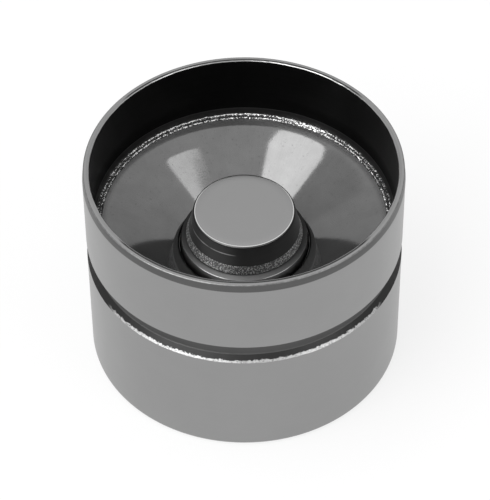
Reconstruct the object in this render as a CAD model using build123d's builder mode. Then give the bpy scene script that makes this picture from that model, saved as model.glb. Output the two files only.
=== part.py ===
"""Hydraulic bucket tappet, standing on its cam face with the open end up.

Lengths are in millimetres. The origin is the centre of the cam face and +Z points out of the open
end. Every piece is turned about Z, so its section is drawn as radius and height in the XZ plane.
"""

import os
from math import atan2, ceil, cos, pi, radians, sin, sqrt, tan

from build123d import *

os.makedirs("parts", exist_ok=True)

# Bucket shell
tappet_dia = 35.0
tappet_height = 26.0
cam_face_wall = 3.2
cam_face_edge = 0.55  # radius where the cam face meets the skirt
floor_corner = 1.5
skirt_wall = 2.2  # below the ledge, behind the oil groove
seat_wall = 1.1  # beside the flange of the guide cone
mouth_wall = 0.75  # bored thin up to the mouth
ledge_height = 17.15  # at the wall, of the step inside the skirt that carries the guide cone
ledge_bevel = 45.0  # degrees, clears the cone below its flange
wall_step_above_ledge = 1.15
wall_step_rise = 1.4  # height over which the wall thins to the mouth
rim_chamfer = 0.2
lead_in_height = 0.95  # taper outside the rim, for fitting into the head
lead_in_depth = 0.1

# Oil groove, feed hole and the slot that leads oil under the plunger
groove_middle = 15.1
groove_width = 2.5
groove_floor_width = 1.0
groove_depth = 0.7
groove_corner = 0.3
feed_hole_dia = 2.0
oil_slot_width = 3.0
oil_slot_depth = 0.4
oil_slot_reach = 1.5  # past the plunger on each side

# Guide cone
cone_sheet = 0.9
cone_drop = 3.39  # from the corner of the flange down to the corner of the guide tube
flange_width = 2.2  # from the rim to the corner that the wide bend rounds off
flange_slope = 14.4  # degrees, of the flange and of the ledge under it
flange_bend = 12.4  # on the underside, where the cone runs out into the flange
lip_radius = 0.7
tube_wall = 1.0
tube_chamfer = 0.1
weld_gap = 0.02  # between the flange and the bucket wall
weld_width = 0.65
weld_rise = 0.13  # of the weld on the bucket wall, over the rim of the flange
weld_crown = 0.9  # radius of the weld's rounded back

# Housing of the hydraulic element
housing_wall = 2.0
guide_clearance = 0.03
element_stroke = 2.8
floor_clearance = 0.4  # under the housing when it is pushed right in
cage_clearance = 0.65  # over the ball cage when it is pushed right in
nose_thickness = 2.5
nose_edge = 0.1
nose_side_height = 2.55
nose_side_taper = 0.55
nose_neck_height = 0.95
nose_neck_step = 0.35
nose_shoulder_height = 0.4
nose_shoulder_step = 0.5
nose_blend = 0.8
housing_corner = 0.6
housing_chamfer = 0.2

# Retaining ring, a split ring of round wire
ring_wire = 0.75
ring_sunk = 0.4  # how far the ring lies inside the housing's surface
ring_side_clearance = 0.02
ring_groove_depth = 0.8
ring_groove_width = 0.85
ring_lip = 1.0  # metal between the ring groove and the open end
ring_split = 3.0

# Plunger
plunger_dia = 9.95
plunger_clearance = 0.025
plunger_length = 6.8
plunger_wall = 1.5
plunger_end_wall = 1.9
plunger_chamfer = 0.2
reservoir_corner = 0.5
foot_clearance = 0.01

# Check valve
ball_dia = 3.0
ball_lift = 0.25
seat_clearance = 0.01
seat_inside = 0.16  # width of the 45 degree seat inside the line where the ball touches
seat_outside = 0.34  # and outside it
cage_sheet = 0.4
cage_flange_dia = 8.8
cage_fit = 0.05
cage_side_clearance = 0.25
cage_bend = 0.2
cage_vent_dia = 0.8
cage_windows = 3
cage_window_width = 1.2
cage_window_height = 1.3

# Springs, of round wire with closed ends ground flat
ball_spring_dia = 1.7
ball_spring_wire = 0.2
ball_spring_length = 1.15
ball_spring_turns = 3.5
ball_spring_clearance = 0.15
return_spring_dia = 8.9
return_spring_wire = 0.7
return_spring_turns = 4.5
spring_seat_clearance = 0.01
closed_turns = 0.75  # at each end of a spring
coil_points_per_turn = 12

# Radii and heights that follow from the sizes above
tappet_r = tappet_dia / 2
skirt_inner_r = tappet_r - skirt_wall
seat_inner_r = tappet_r - seat_wall
mouth_inner_r = tappet_r - mouth_wall
floor_z = cam_face_wall

plunger_r = plunger_dia / 2
plunger_foot_z = floor_z + foot_clearance
plunger_top_z = floor_z + plunger_length
reservoir_r = plunger_r - plunger_wall
reservoir_top_z = plunger_top_z - plunger_end_wall
cage_seat_z = plunger_top_z - cage_sheet

ball_r = ball_dia / 2
contact_r = ball_r * cos(radians(45))
seat_outer_r = contact_r + seat_outside
seat_hole_r = contact_r - seat_inside
seat_low_z = cage_seat_z - seat_inside - seat_outside
ball_z = cage_seat_z - seat_outside + ball_r * sin(radians(45)) + seat_clearance

ball_spring_r = (ball_spring_dia - ball_spring_wire) / 2
ball_spring_rise = sqrt((ball_r + ball_spring_wire / 2) ** 2 - ball_spring_r**2)
ball_spring_low_z = ball_z + ball_spring_rise - ball_spring_wire / 4
ball_spring_top_z = ball_spring_low_z + ball_spring_length
cage_inner_r = ball_r + cage_side_clearance
pocket_r = ball_spring_dia / 2 + ball_spring_clearance
cage_shoulder_z = ball_z + sqrt(ball_r**2 - pocket_r**2) + ball_lift
pocket_top_z = ball_spring_top_z + spring_seat_clearance
cage_top_z = pocket_top_z + cage_sheet

bore_r = plunger_r + plunger_clearance
housing_r = bore_r + housing_wall
housing_open_z = floor_z + floor_clearance + element_stroke
housing_inner_z = cage_top_z + cage_clearance + element_stroke
nose_z = housing_inner_z + nose_thickness
nose_neck_z = nose_z - nose_side_height
nose_shoulder_z = nose_neck_z - nose_neck_height
shoulder_edge_z = nose_shoulder_z - nose_shoulder_height
shoulder_r = housing_r - nose_shoulder_step
neck_r = shoulder_r - nose_neck_step
nose_r = neck_r - nose_side_taper

ring_groove_z = housing_open_z + ring_lip
ring_z = ring_groove_z + ring_side_clearance + ring_wire / 2
ring_mean_r = housing_r - ring_sunk + ring_wire / 2

guide_r = housing_r + guide_clearance
tube_outer_r = guide_r + tube_wall
tube_end_z = ring_z + ring_wire / 2 + ring_side_clearance
flange_fall = tan(radians(flange_slope))
flange_r = seat_inner_r - weld_gap
flange_under_z = ledge_height - weld_gap * flange_fall
flange_z = flange_under_z + cone_sheet / cos(radians(flange_slope))
cone_top_r = flange_r - flange_width
cone_top_z = flange_z - flange_width * flange_fall
lip_corner_z = cone_top_z - cone_drop
cone_slope = atan2(cone_drop, cone_top_r - guide_r)
half_bend = (cone_slope - radians(flange_slope)) / 2
underside_turn = radians(flange_slope) + half_bend
underside_offset = cone_sheet / cos(half_bend)
underside_top_r = cone_top_r + underside_offset * sin(underside_turn)
underside_top_z = cone_top_z - underside_offset * cos(underside_turn)
underside_corner_z = lip_corner_z + tube_wall * tan(cone_slope) - cone_sheet / cos(cone_slope)
flat_flange = (flange_width - weld_width) / cos(radians(flange_slope))
underside_bend = min(flange_bend, flat_flange / tan(half_bend) - cone_sheet)  # it ends before the weld
bend_end_r = underside_top_r + underside_bend * tan(half_bend) * cos(radians(flange_slope))
ledge_inner_r = max(bend_end_r, skirt_inner_r + rim_chamfer)
ledge_inner_z = ledge_height - (seat_inner_r - ledge_inner_r) * flange_fall
bevel_low_z = ledge_inner_z - (ledge_inner_r - skirt_inner_r) * tan(radians(ledge_bevel))
weld_toe_z = flange_z - weld_width * flange_fall


def section(*corners):
    """Draw a closed section through corners given as (radius, height, fillet)."""
    points = [(r, z) for r, z, _ in corners]
    with BuildLine() as outline:
        FilletPolyline(points, radius=[fillet for _, _, fillet in corners], close=True)
    make_face(outline.edges())


def coil(low_z, high_z, mean_r, wire_dia, turns):
    """Sweep a coil of round wire between two heights, its ends closed and ground flat.

    The wire's middle line starts and ends a quarter wire inside the two heights. It climbs one wire
    per turn in the closed turns, and the open turns between them share the rest of the rise.
    """
    start_z = low_z + wire_dia / 4
    rise = high_z - low_z - wire_dia / 2
    open_turns = turns - 2 * closed_turns
    open_rise = rise - 2 * closed_turns * wire_dia
    steps = ceil(turns * coil_points_per_turn)
    points = []
    for step in range(steps + 1):
        turn = turns * step / steps
        share = min(max((turn - closed_turns) / open_turns, 0), 1)
        eased = share - sin(2 * pi * share) / (2 * pi)
        closed_rise = wire_dia * (min(turn, closed_turns) + max(turn - turns + closed_turns, 0))
        angle = 2 * pi * turn
        points.append((mean_r * cos(angle), mean_r * sin(angle), start_z + closed_rise + open_rise * eased))
    with BuildLine() as path:
        Spline(points)
    with BuildSketch(Plane(origin=path.line @ 0, x_dir=(0, 0, 1), z_dir=path.line % 0)) as wire:
        Circle(wire_dia / 2)
    sweep(sections=wire.sketch, path=path.line, is_frenet=True)
    split(bisect_by=Plane.XY.offset(low_z), keep=Keep.TOP)
    split(bisect_by=Plane.XY.offset(high_z), keep=Keep.BOTTOM)


# Bucket: closed cam face, thick skirt to the ledge, thin wall to the rim
with BuildPart() as tappet_body:
    with BuildSketch(Plane.XZ):
        section(
            (0, 0, 0),
            (tappet_r, 0, cam_face_edge),
            (tappet_r, tappet_height - lead_in_height, 0),
            (tappet_r - lead_in_depth, tappet_height, 0),
            (mouth_inner_r + rim_chamfer, tappet_height, 0),
            (mouth_inner_r, tappet_height - rim_chamfer, 0),
            (mouth_inner_r, ledge_height + wall_step_above_ledge + wall_step_rise, 0),
            (seat_inner_r, ledge_height + wall_step_above_ledge, 0),
            (seat_inner_r, ledge_height, 0),
            (ledge_inner_r, ledge_inner_z, 0),
            (skirt_inner_r, bevel_low_z, 0),
            (skirt_inner_r, floor_z, floor_corner),
            (0, floor_z, 0),
        )
    revolve(axis=Axis.Z)
    with BuildSketch(Plane.XZ):
        section(
            (tappet_r + groove_depth, groove_middle - groove_width / 2, 0),
            (tappet_r, groove_middle - groove_width / 2, 0),
            (tappet_r - groove_depth, groove_middle - groove_floor_width / 2, groove_corner),
            (tappet_r - groove_depth, groove_middle + groove_floor_width / 2, groove_corner),
            (tappet_r, groove_middle + groove_width / 2, 0),
            (tappet_r + groove_depth, groove_middle + groove_width / 2, 0),
        )
    revolve(axis=Axis.Z, mode=Mode.SUBTRACT)
    with Locations(Plane(origin=(0, tappet_r, groove_middle), z_dir=(0, 1, 0))):
        Hole(feed_hole_dia / 2, depth=2 * skirt_wall)
    with BuildSketch(Plane.XY.offset(floor_z)):
        SlotOverall(plunger_dia + 2 * oil_slot_reach, oil_slot_width)
    extrude(amount=-oil_slot_depth, mode=Mode.SUBTRACT)

# Guide cone: flange on the ledge, cone, rolled lip and guide tube, with the weld on its rim
with BuildPart() as guide_cone:
    with BuildSketch(Plane.XZ):
        section(
            (flange_r, flange_z, 0),
            (cone_top_r, cone_top_z, underside_bend + cone_sheet),
            (guide_r, lip_corner_z, lip_radius),
            (guide_r, tube_end_z + tube_chamfer, 0),
            (guide_r + tube_chamfer, tube_end_z, 0),
            (tube_outer_r, tube_end_z, 0),
            (tube_outer_r, underside_corner_z, lip_radius),
            (underside_top_r, underside_top_z, underside_bend),
            (flange_r, flange_under_z, 0),
        )
    revolve(axis=Axis.Z)
    with BuildSketch(Plane.XZ):
        with BuildLine():
            RadiusArc((flange_r, flange_z + weld_rise), (flange_r - weld_width, weld_toe_z), -weld_crown)
            Polyline(
                (flange_r - weld_width, weld_toe_z),
                (flange_r - weld_width, weld_toe_z - cone_sheet / 2),
                (flange_r, weld_toe_z - cone_sheet / 2),
                (flange_r, flange_z + weld_rise),
            )
        make_face()
    revolve(axis=Axis.Z)

# Housing: cup with its open end down, its closed end is the nose that meets the valve stem
with BuildPart() as element_housing:
    with BuildSketch(Plane.XZ):
        section(
            (0, nose_z, 0),
            (nose_r, nose_z, nose_edge),
            (neck_r, nose_neck_z, nose_blend),
            (shoulder_r, nose_shoulder_z, nose_blend / 2),
            (housing_r, shoulder_edge_z, 0),
            (housing_r, ring_groove_z + ring_groove_width, 0),
            (housing_r - ring_groove_depth, ring_groove_z + ring_groove_width, 0),
            (housing_r - ring_groove_depth, ring_groove_z, 0),
            (housing_r, ring_groove_z, 0),
            (housing_r, housing_open_z + housing_chamfer, 0),
            (housing_r - housing_chamfer, housing_open_z, 0),
            (bore_r + housing_chamfer, housing_open_z, 0),
            (bore_r, housing_open_z + housing_chamfer, 0),
            (bore_r, housing_inner_z, housing_corner),
            (0, housing_inner_z, 0),
        )
    revolve(axis=Axis.Z)

# Retaining ring: round wire, split so that it can be pressed into its groove
with BuildPart() as retaining_ring:
    with BuildSketch(Plane.XZ):
        with Locations((ring_mean_r, ring_z)):
            Circle(ring_wire / 2)
    revolve(axis=Axis.Z)
    with Locations((ring_mean_r, 0, ring_z)):
        Box(4 * ring_wire, ring_split, 2 * ring_wire, mode=Mode.SUBTRACT)

# Plunger: open reservoir below, end wall with the seat of the check ball and a recess for its cage
with BuildPart() as plunger:
    with BuildSketch(Plane.XZ):
        section(
            (reservoir_r, plunger_foot_z, 0),
            (plunger_r - plunger_chamfer, plunger_foot_z, 0),
            (plunger_r, plunger_foot_z + plunger_chamfer, 0),
            (plunger_r, plunger_top_z - plunger_chamfer, 0),
            (plunger_r - plunger_chamfer, plunger_top_z, 0),
            (cage_flange_dia / 2 + cage_fit, plunger_top_z, 0),
            (cage_flange_dia / 2 + cage_fit, cage_seat_z, 0),
            (seat_outer_r, cage_seat_z, 0),
            (seat_hole_r, seat_low_z, 0),
            (seat_hole_r, reservoir_top_z, 0),
            (reservoir_r, reservoir_top_z, reservoir_corner),
        )
    revolve(axis=Axis.Z)

# Check ball, on its seat
with BuildPart() as check_ball:
    with Locations((0, 0, ball_z)):
        Sphere(ball_r)

# Ball cage: stepped cap, its shoulder stops the ball and its pocket holds the ball spring
with BuildPart() as ball_cage:
    with BuildSketch(Plane.XZ):
        section(
            (cage_inner_r, cage_seat_z, 0),
            (cage_flange_dia / 2, cage_seat_z, 0),
            (cage_flange_dia / 2, cage_seat_z + cage_sheet, 0),
            (cage_inner_r + cage_sheet, cage_seat_z + cage_sheet, cage_bend),
            (cage_inner_r + cage_sheet, cage_shoulder_z + cage_sheet, cage_bend),
            (pocket_r + cage_sheet, cage_shoulder_z + cage_sheet, cage_bend),
            (pocket_r + cage_sheet, cage_top_z, cage_bend),
            (cage_vent_dia / 2, cage_top_z, 0),
            (cage_vent_dia / 2, pocket_top_z, 0),
            (pocket_r, pocket_top_z, 0),
            (pocket_r, cage_shoulder_z, 0),
            (cage_inner_r, cage_shoulder_z, 0),
        )
    revolve(axis=Axis.Z)
    with Locations(Plane.XY.offset(cage_seat_z + cage_sheet + cage_bend + cage_window_height / 2)):
        with PolarLocations(cage_inner_r + cage_sheet / 2, cage_windows):
            Box(3 * cage_sheet, cage_window_width, cage_window_height, mode=Mode.SUBTRACT)

# Ball spring, between the ball and the end of the pocket
with BuildPart() as ball_spring:
    coil(
        ball_spring_low_z + spring_seat_clearance,
        ball_spring_top_z,
        ball_spring_r,
        ball_spring_wire,
        ball_spring_turns,
    )

# Return spring, between the plunger's end and the inside of the nose
with BuildPart() as return_spring:
    coil(
        plunger_top_z + spring_seat_clearance,
        housing_inner_z - spring_seat_clearance,
        (return_spring_dia - return_spring_wire) / 2,
        return_spring_wire,
        return_spring_turns,
    )

pieces = {
    "tappet_body": tappet_body,
    "guide_cone": guide_cone,
    "element_housing": element_housing,
    "retaining_ring": retaining_ring,
    "plunger": plunger,
    "check_ball": check_ball,
    "ball_cage": ball_cage,
    "ball_spring": ball_spring,
    "return_spring": return_spring,
}
for name, piece in pieces.items():
    piece.part.label = name
    export_step(piece.part, f"parts/{name}.step")
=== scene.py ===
"""A hydraulic bucket tappet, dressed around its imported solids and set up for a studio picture.

Sizes are in millimetres, as on a drawing, and every mesh is scaled to metres when it is made. A
radius is taken from the tappet's axis and a height from its cam face. An angle round the axis
starts at +X and grows towards +Y, so the photograph's viewer stands at an angle of -90 degrees.
"""

import logging
from collections.abc import Callable
from dataclasses import dataclass
from enum import Enum
from math import acos, asin, atan2, ceil, cos, pi, radians, sin, tan

import bpy
import numpy as np
from mathutils import Matrix, Vector


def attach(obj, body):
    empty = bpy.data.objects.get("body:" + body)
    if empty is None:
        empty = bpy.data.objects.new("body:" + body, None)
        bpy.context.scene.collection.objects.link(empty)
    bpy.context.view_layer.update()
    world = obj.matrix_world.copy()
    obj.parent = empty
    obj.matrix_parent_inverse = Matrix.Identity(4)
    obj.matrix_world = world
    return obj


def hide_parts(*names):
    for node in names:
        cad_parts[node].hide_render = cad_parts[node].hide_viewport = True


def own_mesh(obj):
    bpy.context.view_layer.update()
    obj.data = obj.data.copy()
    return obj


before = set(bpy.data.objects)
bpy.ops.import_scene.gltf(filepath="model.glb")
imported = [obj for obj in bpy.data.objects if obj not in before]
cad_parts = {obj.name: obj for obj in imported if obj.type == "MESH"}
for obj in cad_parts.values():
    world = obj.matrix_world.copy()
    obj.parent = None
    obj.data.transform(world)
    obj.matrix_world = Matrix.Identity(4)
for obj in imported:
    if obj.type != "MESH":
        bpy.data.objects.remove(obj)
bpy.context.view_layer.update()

MM = 0.001
SHARP_ANGLE = radians(24)
DRAWN_RADIUS = 12.0  # at which a mark drawn down a surface is as wide as its pitch, mm
FADE = 1.0  # length over which a change along X comes in or goes, mm
FINER_SHARE = 0.55  # strength of each finer step of noise, as a share of the step before
SPECKS_PER_MM = 3.5
SPECK_LEVELS = (0.68, 0.74)  # of the noise, between which a speck sets in
ROUGHNESS_DRIFT = 0.12  # as a share of the roughness

log = logging.getLogger("tappet")


class Signal:
    """A value that changes over a surface, with the arithmetic that the finishes need."""

    def __init__(self, tree: "Tree", socket: bpy.types.NodeSocket) -> None:
        """Wrap an output socket of a node in the tree."""
        self.tree = tree
        self.socket = socket

    def _maths(self, operation: str, first: "Term", second: "Term") -> "Signal":
        """Add a Math node for an operation on two terms."""
        return self.tree.node("ShaderNodeMath", {"operation": operation}, {0: first, 1: second})

    def __add__(self, other: "Term") -> "Signal":
        """Sum of this value and another."""
        return self._maths("ADD", self, other)

    __radd__ = __add__

    def __sub__(self, other: "Term") -> "Signal":
        """This value less another."""
        return self._maths("SUBTRACT", self, other)

    def __rsub__(self, other: "Term") -> "Signal":
        """Another value less this one."""
        return self._maths("SUBTRACT", other, self)

    def __mul__(self, other: "Term") -> "Signal":
        """Product of this value and another."""
        return self._maths("MULTIPLY", self, other)

    __rmul__ = __mul__

    def __truediv__(self, other: "Term") -> "Signal":
        """This value divided by another."""
        return self._maths("DIVIDE", self, other)

    def __pow__(self, other: "Term") -> "Signal":
        """This value raised to a power."""
        return self._maths("POWER", self, other)

    def __abs__(self) -> "Signal":
        """Size of this value, whatever its sign."""
        return self._maths("ABSOLUTE", self, 0.0)

    def above(self, low: float, high: float) -> "Signal":
        """Rise smoothly from 0 at low to 1 at high."""
        settings = {"interpolation_type": "SMOOTHSTEP"}
        return self.tree.node("ShaderNodeMapRange", settings, {0: self, 1: low, 2: high})


Term = Signal | float


class Tree:
    """The node tree of a material or of the world, built node by node."""

    def __init__(self, nodes: bpy.types.NodeTree) -> None:
        """Take over a node tree and empty it."""
        self.nodes = nodes
        self.nodes.nodes.clear()

    def node(
        self,
        kind: str,
        settings: dict[str, object] | None = None,
        inputs: dict[str | int, object] | None = None,
        output: str | int = 0,
    ) -> Signal:
        """Add a node.

        Args:
            kind: The node's type.
            settings: Its own options, which are set before its sockets.
            inputs: Values or signals for its input sockets.
            output: The output socket to hand back.

        Returns:
            The output socket, as a signal.
        """
        made = self.nodes.nodes.new(kind)
        for name, value in (settings or {}).items():
            setattr(made, name, value)
        for name, value in (inputs or {}).items():
            if isinstance(value, Signal):
                self.nodes.links.new(value.socket, made.inputs[name])
            else:
                made.inputs[name].default_value = value
        return Signal(self, made.outputs[output])

    def deliver(self, kind: str, surface: Signal) -> None:
        """Link the finished shader to the tree's output node."""
        end = self.nodes.nodes.new(kind)
        self.nodes.links.new(surface.socket, end.inputs["Surface"])

    def vector(self, x: Term, y: Term, z: Term) -> Signal:
        """Join three values into a vector."""
        return self.node("ShaderNodeCombineXYZ", None, {0: x, 1: y, 2: z})

    def noise(self, place: Signal, scale: float, detail: float = 2.0) -> Signal:
        """Noise from 0 to 1 at a place, with a scale in cells per unit of that place."""
        sockets = {"Vector": place, "Scale": scale, "Detail": detail, "Roughness": FINER_SHARE}
        return self.node("ShaderNodeTexNoise", None, sockets)

    def ray(self, kind: str) -> Signal:
        """1 for rays of one kind, and 0 for others."""
        return self.node("ShaderNodeLightPath", None, None, kind)

    def glow(self, strength: float) -> Signal:
        """White light given off."""
        return self.node("ShaderNodeEmission", None, {"Color": grey(1.0), "Strength": strength})


class Spot:
    """A point of a surface as a material reads it, in millimetres."""

    def __init__(self, tree: Tree) -> None:
        """Read the point's place, as a vector and along each axis.

        Args:
            tree: Tree of the material.
        """
        metres = tree.node("ShaderNodeTexCoord", None, None, "Object")
        self.tree = tree
        self.place = tree.node("ShaderNodeVectorMath", {"operation": "SCALE"}, {0: metres, "Scale": 1 / MM})
        parts = (tree.node("ShaderNodeSeparateXYZ", None, {0: self.place}, axis) for axis in range(3))
        self.x, self.y, self.z = parts

    def radius(self) -> Signal:
        """Distance from the axis."""
        return (self.x * self.x + self.y * self.y) ** 0.5

    def noise(self, scale: float, detail: float = 2.0) -> Signal:
        """Noise from 0 to 1, with a scale in cells per millimetre."""
        return self.tree.noise(self.place, scale, detail)

    def beside(self, near: float, far: float) -> Signal:
        """Rise to 1 past a near distance from the middle along X, and fall again up to a far one."""
        aside = abs(self.x)
        return aside.above(near, near + FADE) * (1.0 - aside.above(far - FADE, far))


def grey(level: float) -> tuple[float, float, float, float]:
    """Neutral colour of a linear level."""
    return (level, level, level, 1.0)


def new_material(name: str, surface: Callable[[Tree], Signal]) -> bpy.types.Material:
    """Make a material.

    Args:
        name: Its name.
        surface: Makes the shader in the material's tree.

    Returns:
        The material.
    """
    made = bpy.data.materials.new(name)
    made.use_nodes = True
    tree = Tree(made.node_tree)
    tree.deliver("ShaderNodeOutputMaterial", surface(tree))
    return made


class Lay(Enum):
    """The way in which the marks of the last operation run."""

    ROUND = "round the axis, as turning and grinding leave them"
    DRAWN = "down the surface, as pressing and drawing leave them"
    NONE = "no direction, as casting or a coating leaves it"


@dataclass(frozen=True)
class Finish:
    """The finish that one operation leaves on the steel.

    Attributes:
        name: Name of the material.
        tone: Linear grey of the metal, as reflected straight on.
        roughness: Roughness of the shader.
        metal: Share that reflects as bare metal. The rest is an oxide or oil film.
        lay: Direction of the tool marks.
        mark_pitch: Width of a tool mark, mm.
        mark_length: Length of a tool mark, mm.
        mark_depth: Depth of the tool marks, mm.
        grain_size: Size of the grain under them, mm.
        grain_depth: Depth of that grain, mm.
        cloud: Share by which the tone drifts over a few millimetres.
        cloud_size: Size of that drift, mm.
        specks: Share by which scattered pits darken the tone.
    """

    name: str
    tone: float
    roughness: float
    metal: float = 1.0
    lay: Lay = Lay.ROUND
    mark_pitch: float = 0.12
    mark_length: float = 6.0
    mark_depth: float = 0.0006
    grain_size: float = 0.15
    grain_depth: float = 0.0004
    cloud: float = 0.06
    cloud_size: float = 5.0
    specks: float = 0.0

    def marks(self, spot: Spot) -> Signal:
        """Tool marks from 0 to 1.

        Marks that run round the axis are noise that is fine along radius plus height and slow along
        X and Y. Drawn marks are fine in the direction from the axis, which turns with the angle, and
        slow along radius and height.

        Args:
            spot: The point.

        Returns:
            The height of the marks.
        """
        radius = spot.radius()
        down = radius + spot.z
        along = 1 / self.mark_length
        if self.lay is Lay.ROUND:
            place = spot.tree.vector(spot.x * along, spot.y * along, down / self.mark_pitch)
        else:
            turns = DRAWN_RADIUS / self.mark_pitch
            place = spot.tree.vector(spot.x / radius * turns, spot.y / radius * turns, down * along)
        return spot.tree.noise(place, 1.0, 3.0)

    def tone_signal(self, spot: Spot, marks: Signal | None) -> Signal:
        """Tone of the metal, before it becomes a colour.

        Args:
            spot: The point.
            marks: Tool marks, if there are any.

        Returns:
            The linear grey level over the surface.
        """
        level = (spot.noise(1 / self.cloud_size, 3.0) - 0.5) * (2 * self.cloud) + 1.0
        if marks is not None:
            level = level + (marks - 0.5) * self.cloud
        if self.specks:
            level = level - spot.noise(SPECKS_PER_MM, 1.0).above(*SPECK_LEVELS) * self.specks
        return level * self.tone

    def roughness_signal(self, spot: Spot) -> Signal:
        """Roughness, which drifts a little over the surface."""
        drift = spot.noise(1.7 / self.cloud_size) - 0.5
        return drift * ROUGHNESS_DRIFT * self.roughness + self.roughness

    def relief(self, spot: Spot, marks: Signal | None) -> Signal:
        """Normal of the surface, from its grain and its tool marks.

        Args:
            spot: The point.
            marks: Tool marks, if there are any.

        Returns:
            The bumped normal.
        """
        height = spot.noise(1 / self.grain_size) * self.grain_depth
        if marks is not None:
            height = height + marks * self.mark_depth
        return spot.tree.node("ShaderNodeBump", None, {"Strength": 1.0, "Distance": MM, "Height": height})

    def shader(self, tree: Tree) -> Signal:
        """Join tone, roughness and relief in the metal's shader.

        Args:
            tree: Tree of the material.

        Returns:
            The shader.
        """
        spot = Spot(tree)
        marks = None if self.lay is Lay.NONE else self.marks(spot)
        level = self.tone_signal(spot, marks)
        sockets = {
            "Base Color": tree.vector(level, level, level),
            "Metallic": self.metal,
            "Roughness": self.roughness_signal(spot),
            "Normal": self.relief(spot, marks),
        }
        return tree.node("ShaderNodeBsdfPrincipled", None, sockets)

    def material(self) -> bpy.types.Material:
        """The finish's material, made once."""
        return bpy.data.materials.get(self.name) or new_material(self.name, self.shader)


@dataclass(frozen=True)
class TwoTone(Finish):
    """A finish that shows a second tone in places, which each kind of it lays out in its own way.

    Attributes:
        other: Linear grey of the second tone.
    """

    other: float = 0.5

    def places(self, spot: Spot) -> Signal:
        """Share of the second tone at a point."""
        raise NotImplementedError

    def tone_signal(self, spot: Spot, marks: Signal | None) -> Signal:
        """The plain tone, and the other one in its places."""
        return super().tone_signal(spot, marks) + self.places(spot) * (self.other - self.tone)


@dataclass(frozen=True)
class TornEdgePaintedLight(TwoTone):
    """Tool flank darkened as painted shade, whose edge is torn bright, as a blunt grooving tool leaves it,
    with painted highlight on the bright metal.

    Attributes:
        edge_height: Height of the edge, mm.
        tear: Greatest reach of the tears from the edge, mm.
        least: Their least reach, as a share of the greatest.
        tears: Tears in a millimetre.
        tear_levels: Levels of their noise between which the reach grows.
        flecks: Flecks of bright metal in a millimetre.
        fleck_levels: Levels of their noise between which metal gets bright.
        near: Distance from the middle, along X, at which the tears begin, mm.
        far: Distance at which they end, mm.
    """

    edge_height: float = 0.0
    tear: float = 0.2
    least: float = 0.4
    tears: float = 2.6
    tear_levels: tuple[float, float] = (0.3, 0.75)
    flecks: float = 6.0
    fleck_levels: tuple[float, float] = (0.2, 0.55)
    near: float = -0.6
    far: float = 15.0

    def places(self, spot: Spot) -> Signal:
        """Bright metal, partly painted highlight, within a distance of the edge that noise round the axis
        sets.

        Args:
            spot: The point.

        Returns:
            The share of torn metal.
        """
        growth = spot.noise(self.tears, 4.0).above(*self.tear_levels)
        reach = (growth * (1.0 - self.least) + self.least) * self.tear
        torn = 1.0 - (abs(spot.z - self.edge_height) - reach).above(-0.05, 0.02)
        flecks = spot.noise(self.flecks, 3.0).above(*self.fleck_levels)
        return torn * flecks * spot.beside(self.near, self.far)


@dataclass(frozen=True)
class PaintedHighlightLine(TwoTone):
    """A finish with a thin painted highlight line round it.

    Attributes:
        line_height: Height of the line, mm.
        line_half: Half of its width, measured along the height, mm.
        breaks: Cells of the noise that breaks it up, in a millimetre.
        break_levels: Levels of that noise between which the line appears.
        ends_at: Place along X at which the line runs out, mm.
    """

    line_height: float = 0.0
    line_half: float = 0.04
    breaks: float = 0.8
    break_levels: tuple[float, float] = (0.3, 0.6)
    ends_at: float = 100.0

    def places(self, spot: Spot) -> Signal:
        """Painted highlight near the line's height up to its end, in strength that drifts along it.

        Args:
            spot: The point.

        Returns:
            The strength of the line.
        """
        line = 1.0 - abs(spot.z - self.line_height).above(self.line_half * 0.5, self.line_half * 1.5)
        kept = 1.0 - spot.x.above(self.ends_at - FADE, self.ends_at)
        return line * kept * spot.noise(self.breaks, 3.0).above(*self.break_levels)


@dataclass(frozen=True)
class PaintedLightAside(TwoTone):
    """Painted light on an edge: its tone changes at two distances on both sides of its foremost point.

    Attributes:
        near: Distance from the middle, along X, at which the other tone begins, mm.
        far: Distance at which it ends, mm.
    """

    near: float = 1.6
    far: float = 5.4

    def places(self, spot: Spot) -> Signal:
        """The other tone, as painted highlight or painted shade, between the two distances."""
        return spot.beside(self.near, self.far)


@dataclass(frozen=True)
class PaintedSparkle(TwoTone):
    """Dark blasted metal whose bright grains are painted sparkle, that is painted highlights.

    Attributes:
        cover: Level of the noise over which metal is bright. A lower level covers more.
    """

    cover: float = 0.52

    def places(self, spot: Spot) -> Signal:
        """Painted sparkle on grains of the grain's size."""
        return spot.noise(1 / self.grain_size, 1.0).above(self.cover, self.cover + 0.1)


@dataclass(frozen=True)
class PaintedWeldLight(Finish):
    """Weld metal: bright on its crests as painted highlight, and dark in between as soot and painted shade.

    Attributes:
        soot_and_shade: Linear grey of the valleys, soot and painted shade.
        contrast: How far the grain pushes the metal over or under the border of the soot.
    """

    soot_and_shade: float = 0.008
    contrast: float = 4.5

    def tone_signal(self, spot: Spot, marks: Signal | None) -> Signal:
        """Painted highlight where the crest plus a fine grain passes a border, soot and painted shade
        elsewhere.

        Args:
            spot: The point.
            marks: Tool marks, which a weld doesn't have.

        Returns:
            The linear grey level over the weld.
        """
        crest = spot.tree.node("ShaderNodeAttribute", {"attribute_name": "crest"}, None, "Fac")
        grain = spot.noise(1 / self.grain_size) - 0.5
        return (crest + grain * self.contrast).above(0.55, 1.0) * (self.tone - self.soot_and_shade) + self.soot_and_shade


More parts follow.
